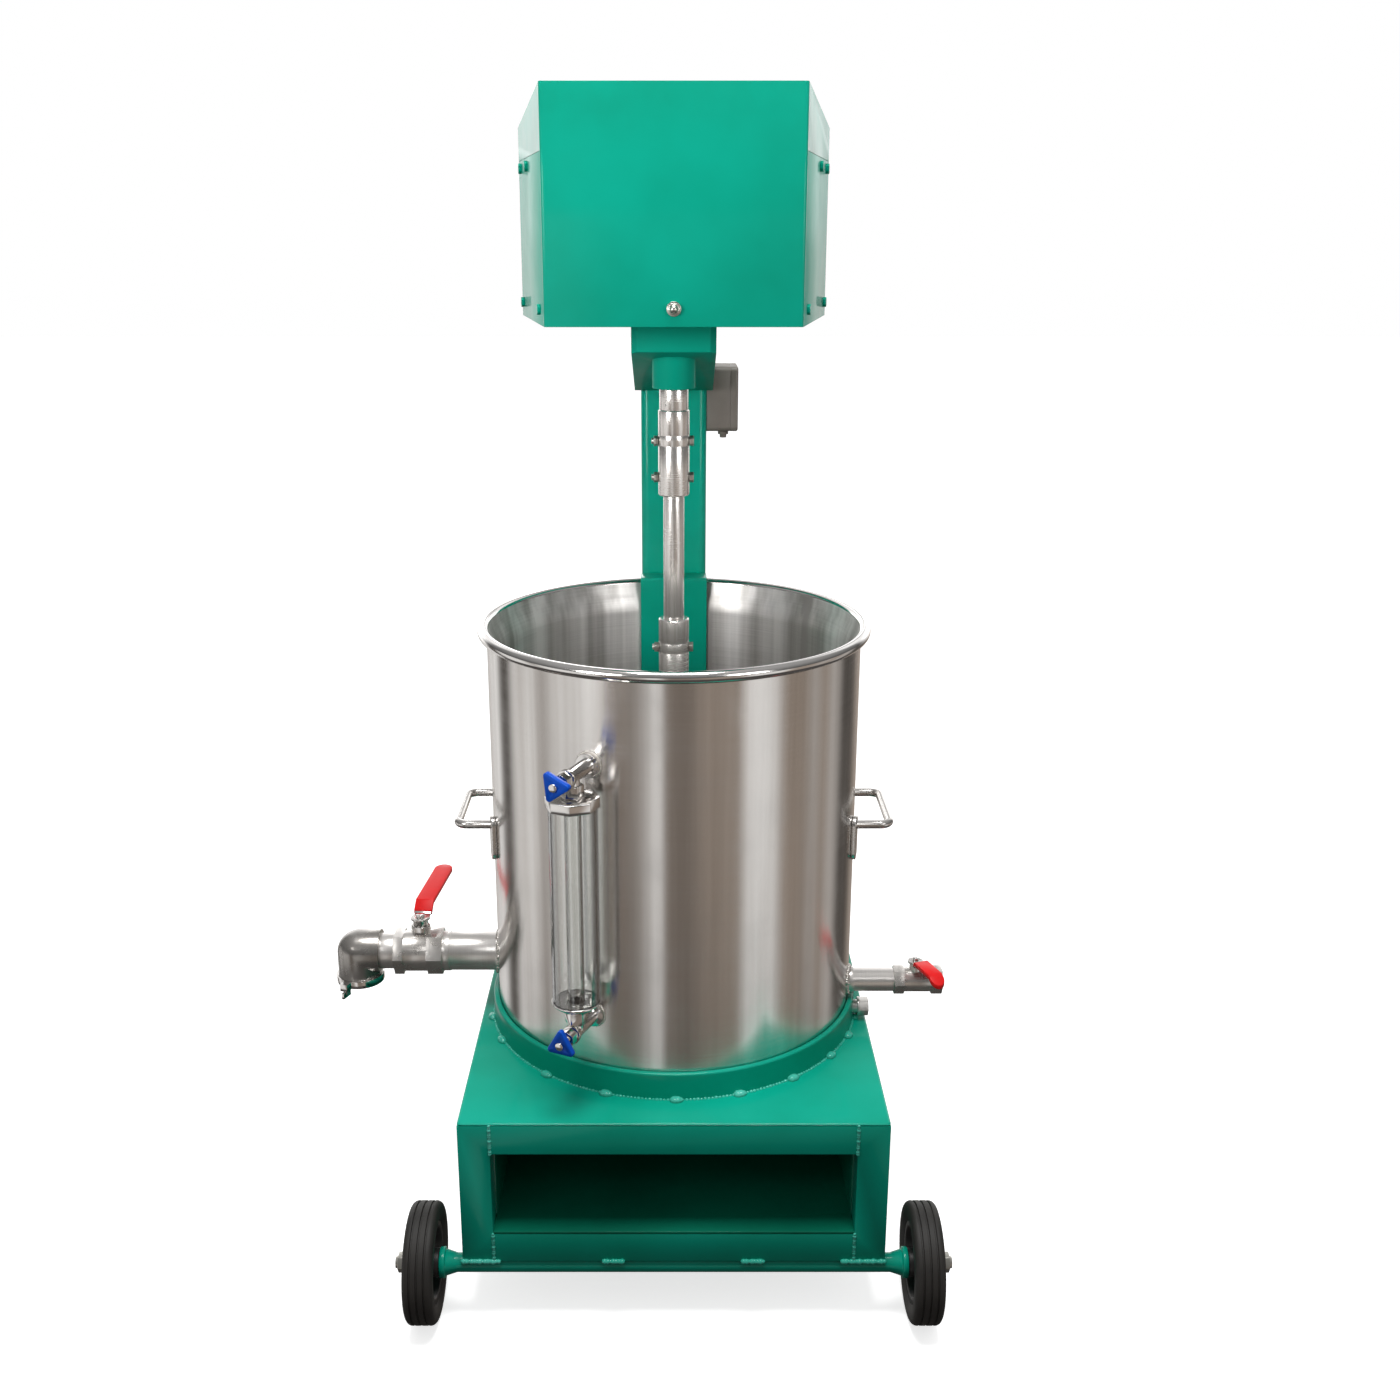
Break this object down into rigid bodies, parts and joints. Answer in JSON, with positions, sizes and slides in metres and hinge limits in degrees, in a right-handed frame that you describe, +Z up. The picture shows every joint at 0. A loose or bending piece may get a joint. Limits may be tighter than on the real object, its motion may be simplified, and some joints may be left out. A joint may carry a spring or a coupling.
{
  "type": "cooking kettle with agitator",
  "caption": "Jacketed cooking kettle on a wheeled base, with a top-mounted drive on a rear column that turns an anchor agitator, a ball-valve outlet and a sight gauge.",
  "frame": {"origin": "on the kettle's axis, at the underside of the base frame's cross rail", "axes": "+Z up along the kettle's axis, -Y towards the open front of the base and the gauge, +X towards the jacket drain"},
  "size_m": [0.8981, 0.786, 1.5857],
  "materials": {
    "green_paint": "gloss",
    "brushed_steel": "brushed",
    "polished_steel": "polished",
    "cast_steel": "satin",
    "red_sleeve": "gloss",
    "blue_knob": "gloss",
    "clear_guard": "clear",
    "tyre": "matte",
    "rubber_foot": "matte",
    "hub": "matte",
    "zinc": "satin",
    "gear_case": "cast",
    "grey_box": "matte",
    "scraper": "matte"
  },
  "bodies": {
    "kettle_frame": {"base_frame": "green_paint", "base_top_plate": "green_paint", "bay_tray": "green_paint", "foot_pads": "rubber_foot", "collar_ring": "green_paint", "axle_tube": "green_paint", "front_axle": "zinc", "axle_nuts": "zinc", "kettle_shell": "brushed_steel", "inner_pot": "polished_steel", "side_handles": "brushed_steel", "outlet_pipe": "brushed_steel", "outlet_valve_body": "cast_steel", "outlet_gland_nut": "cast_steel", "outlet_nipple": "brushed_steel", "outlet_elbow": "cast_steel", "outlet_clamp": "polished_steel", "drain_pipe": "brushed_steel", "drain_valve_body": "cast_steel", "jacket_plug": "brushed_steel", "gauge_upper_cock": "cast_steel", "gauge_lower_cock": "cast_steel", "gauge_glass": "clear_guard", "gauge_guard": "clear_guard", "gauge_guard_cap": "brushed_steel", "gauge_guard_dish": "brushed_steel", "column": "green_paint", "rim_saddle": "green_paint", "drive_head": "green_paint", "shaft_bearings": "brushed_steel", "hood": "green_paint", "hood_side_covers": "green_paint", "hood_floor": "green_paint", "hood_screws": "zinc", "gearbox": "gear_case", "motor": "gear_case", "junction_box": "grey_box", "junction_box_lid": "grey_box"},
    "agitator_rotor": {"drive_shaft": "brushed_steel", "mid_shaft": "brushed_steel", "shaft_couplings": "brushed_steel", "coupling_bolts": "zinc", "agitator": "brushed_steel", "scrapers": "scraper"},
    "outlet_handle": {"outlet_lever": "brushed_steel", "outlet_grip": "red_sleeve", "outlet_stem": "brushed_steel", "outlet_ball": "polished_steel"},
    "drain_handle": {"drain_lever": "brushed_steel", "drain_grip": "red_sleeve", "drain_stem": "brushed_steel", "drain_ball": "polished_steel"},
    "gauge_upper_tap": {"gauge_upper_knob": "blue_knob", "gauge_upper_spindle": "polished_steel"},
    "gauge_lower_tap": {"gauge_lower_knob": "blue_knob", "gauge_lower_spindle": "polished_steel"},
    "right_wheel": {"right_wheel_hub": "hub", "right_wheel_tyre": "tyre"},
    "left_wheel": {"left_wheel_hub": "hub", "left_wheel_tyre": "tyre"}
  },
  "joints": [
    {"name": "agitator_spin", "type": "hinge", "parent": "kettle_frame", "child": "agitator_rotor", "pos_m": [0, 0, 1], "axis": [0, 0, 1], "continuous": true},
    {"name": "outlet_lever_turn", "type": "hinge", "parent": "kettle_frame", "child": "outlet_handle", "pos_m": [-0.376, 0, 0.35], "axis": [0, 0, 1], "range_deg": [0, 90]},
    {"name": "drain_lever_turn", "type": "hinge", "parent": "kettle_frame", "child": "drain_handle", "pos_m": [0.354, -0.045, 0.3], "axis": [0, 0, 1], "range_deg": [-20, 70]},
    {"name": "gauge_upper_knob_turn", "type": "hinge", "parent": "kettle_frame", "child": "gauge_upper_tap", "pos_m": [-0.1269, -0.27845, 0.677], "axis": [-0.4147, -0.91, 0], "range_deg": [0, 90]},
    {"name": "gauge_lower_knob_turn", "type": "hinge", "parent": "kettle_frame", "child": "gauge_lower_tap", "pos_m": [-0.1269, -0.27845, 0.323], "axis": [-0.4147, -0.91, 0], "range_deg": [0, 90]},
    {"name": "right_wheel_roll", "type": "hinge", "parent": "kettle_frame", "child": "right_wheel", "pos_m": [0.337, -0.312, -0.0127], "axis": [1, 0, 0], "continuous": true},
    {"name": "left_wheel_roll", "type": "hinge", "parent": "kettle_frame", "child": "left_wheel", "pos_m": [-0.337, -0.312, -0.0127], "axis": [1, 0, 0], "continuous": true}
  ]
}
